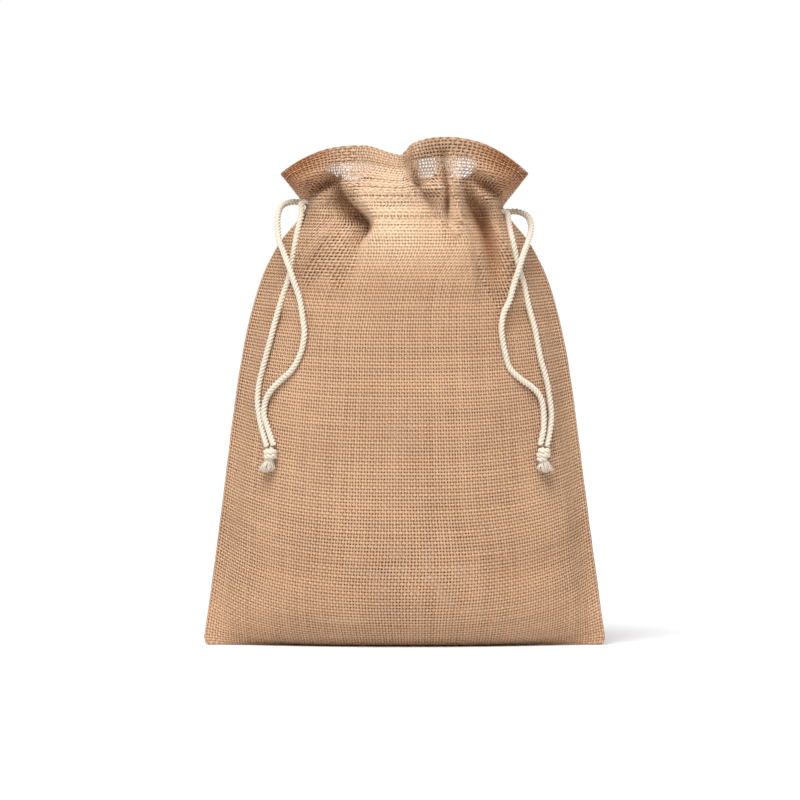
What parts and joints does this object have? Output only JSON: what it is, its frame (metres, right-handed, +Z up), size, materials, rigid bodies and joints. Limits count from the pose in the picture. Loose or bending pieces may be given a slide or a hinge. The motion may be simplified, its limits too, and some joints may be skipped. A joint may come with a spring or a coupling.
{
  "type": "drawstring gift pouch",
  "caption": "Filled pouch of coarse woven jute, gathered at the neck by twisted cotton drawstrings under a flared, hemmed frill.",
  "frame": {"origin": "middle of the base, on the surface that the pouch stands on", "axes": "+Z up through the neck, +X to the right, the front wall faces -Y"},
  "size_m": [0.25, 0.098, 0.316],
  "materials": {
    "jute_cloth": "coarse plain weave of natural jute, matt",
    "jute_hem": "the same jute folded double, matt",
    "sewing_thread": "tan polyester-cotton sewing thread",
    "cotton_cord": "twisted cream cotton cord, matt"
  },
  "bodies": {
    "bag": {"front_panel": "jute_cloth", "back_panel": "jute_cloth", "bottom_seam": "jute_cloth", "left_side_seam": "jute_cloth", "right_side_seam": "jute_cloth", "bottom_thread": "sewing_thread", "left_seam_thread": "sewing_thread", "right_seam_thread": "sewing_thread", "front_casing": "jute_cloth", "back_casing": "jute_cloth", "front_casing_thread": "sewing_thread", "back_casing_thread": "sewing_thread", "left_cord_turn": "cotton_cord", "right_cord_turn": "cotton_cord"},
    "front_lip": {"front_frill": "jute_cloth", "front_hem": "jute_hem", "front_hem_thread": "sewing_thread"},
    "back_lip": {"back_frill": "jute_cloth", "back_hem": "jute_hem", "back_hem_thread": "sewing_thread"},
    "left_draw": {"left_cord_run": "cotton_cord"},
    "left_tails": {"left_front_tail": "cotton_cord", "left_back_tail": "cotton_cord", "left_knot": "cotton_cord", "left_tassel": "cotton_cord"},
    "right_draw": {"right_cord_run": "cotton_cord"},
    "right_tails": {"right_front_tail": "cotton_cord", "right_back_tail": "cotton_cord", "right_knot": "cotton_cord", "right_tassel": "cotton_cord"}
  },
  "joints": [
    {"name": "front_lip_open", "type": "hinge", "parent": "bag", "child": "front_lip", "pos_m": [0, -0.0206, 0.2807], "axis": [1, 0, 0], "range_deg": [0, 30]},
    {"name": "back_lip_open", "type": "hinge", "parent": "bag", "child": "back_lip", "pos_m": [0, 0.0206, 0.2807], "axis": [-1, 0, 0], "range_deg": [0, 30]},
    {"name": "left_cord_pull", "type": "slide", "parent": "bag", "child": "left_draw", "axis": [-1, 0, 0], "range_m": [0, 0.05]},
    {"name": "left_tails_swing", "type": "hinge", "parent": "left_draw", "child": "left_tails", "pos_m": [-0.0625, 0, 0.276], "axis": [0, 1, 0], "range_deg": [0, 45]},
    {"name": "right_cord_pull", "type": "slide", "parent": "bag", "child": "right_draw", "axis": [1, 0, 0], "range_m": [0, 0.05]},
    {"name": "right_tails_swing", "type": "hinge", "parent": "right_draw", "child": "right_tails", "pos_m": [0.0625, 0, 0.27], "axis": [0, -1, 0], "range_deg": [0, 45]}
  ],
  "couplings": [
    {"joint": "back_lip_open", "follows": "front_lip_open", "ratio": 1},
    {"joint": "left_tails_swing", "follows": "left_cord_pull", "rad_per_m": 15.7},
    {"joint": "right_tails_swing", "follows": "right_cord_pull", "rad_per_m": 15.7}
  ]
}
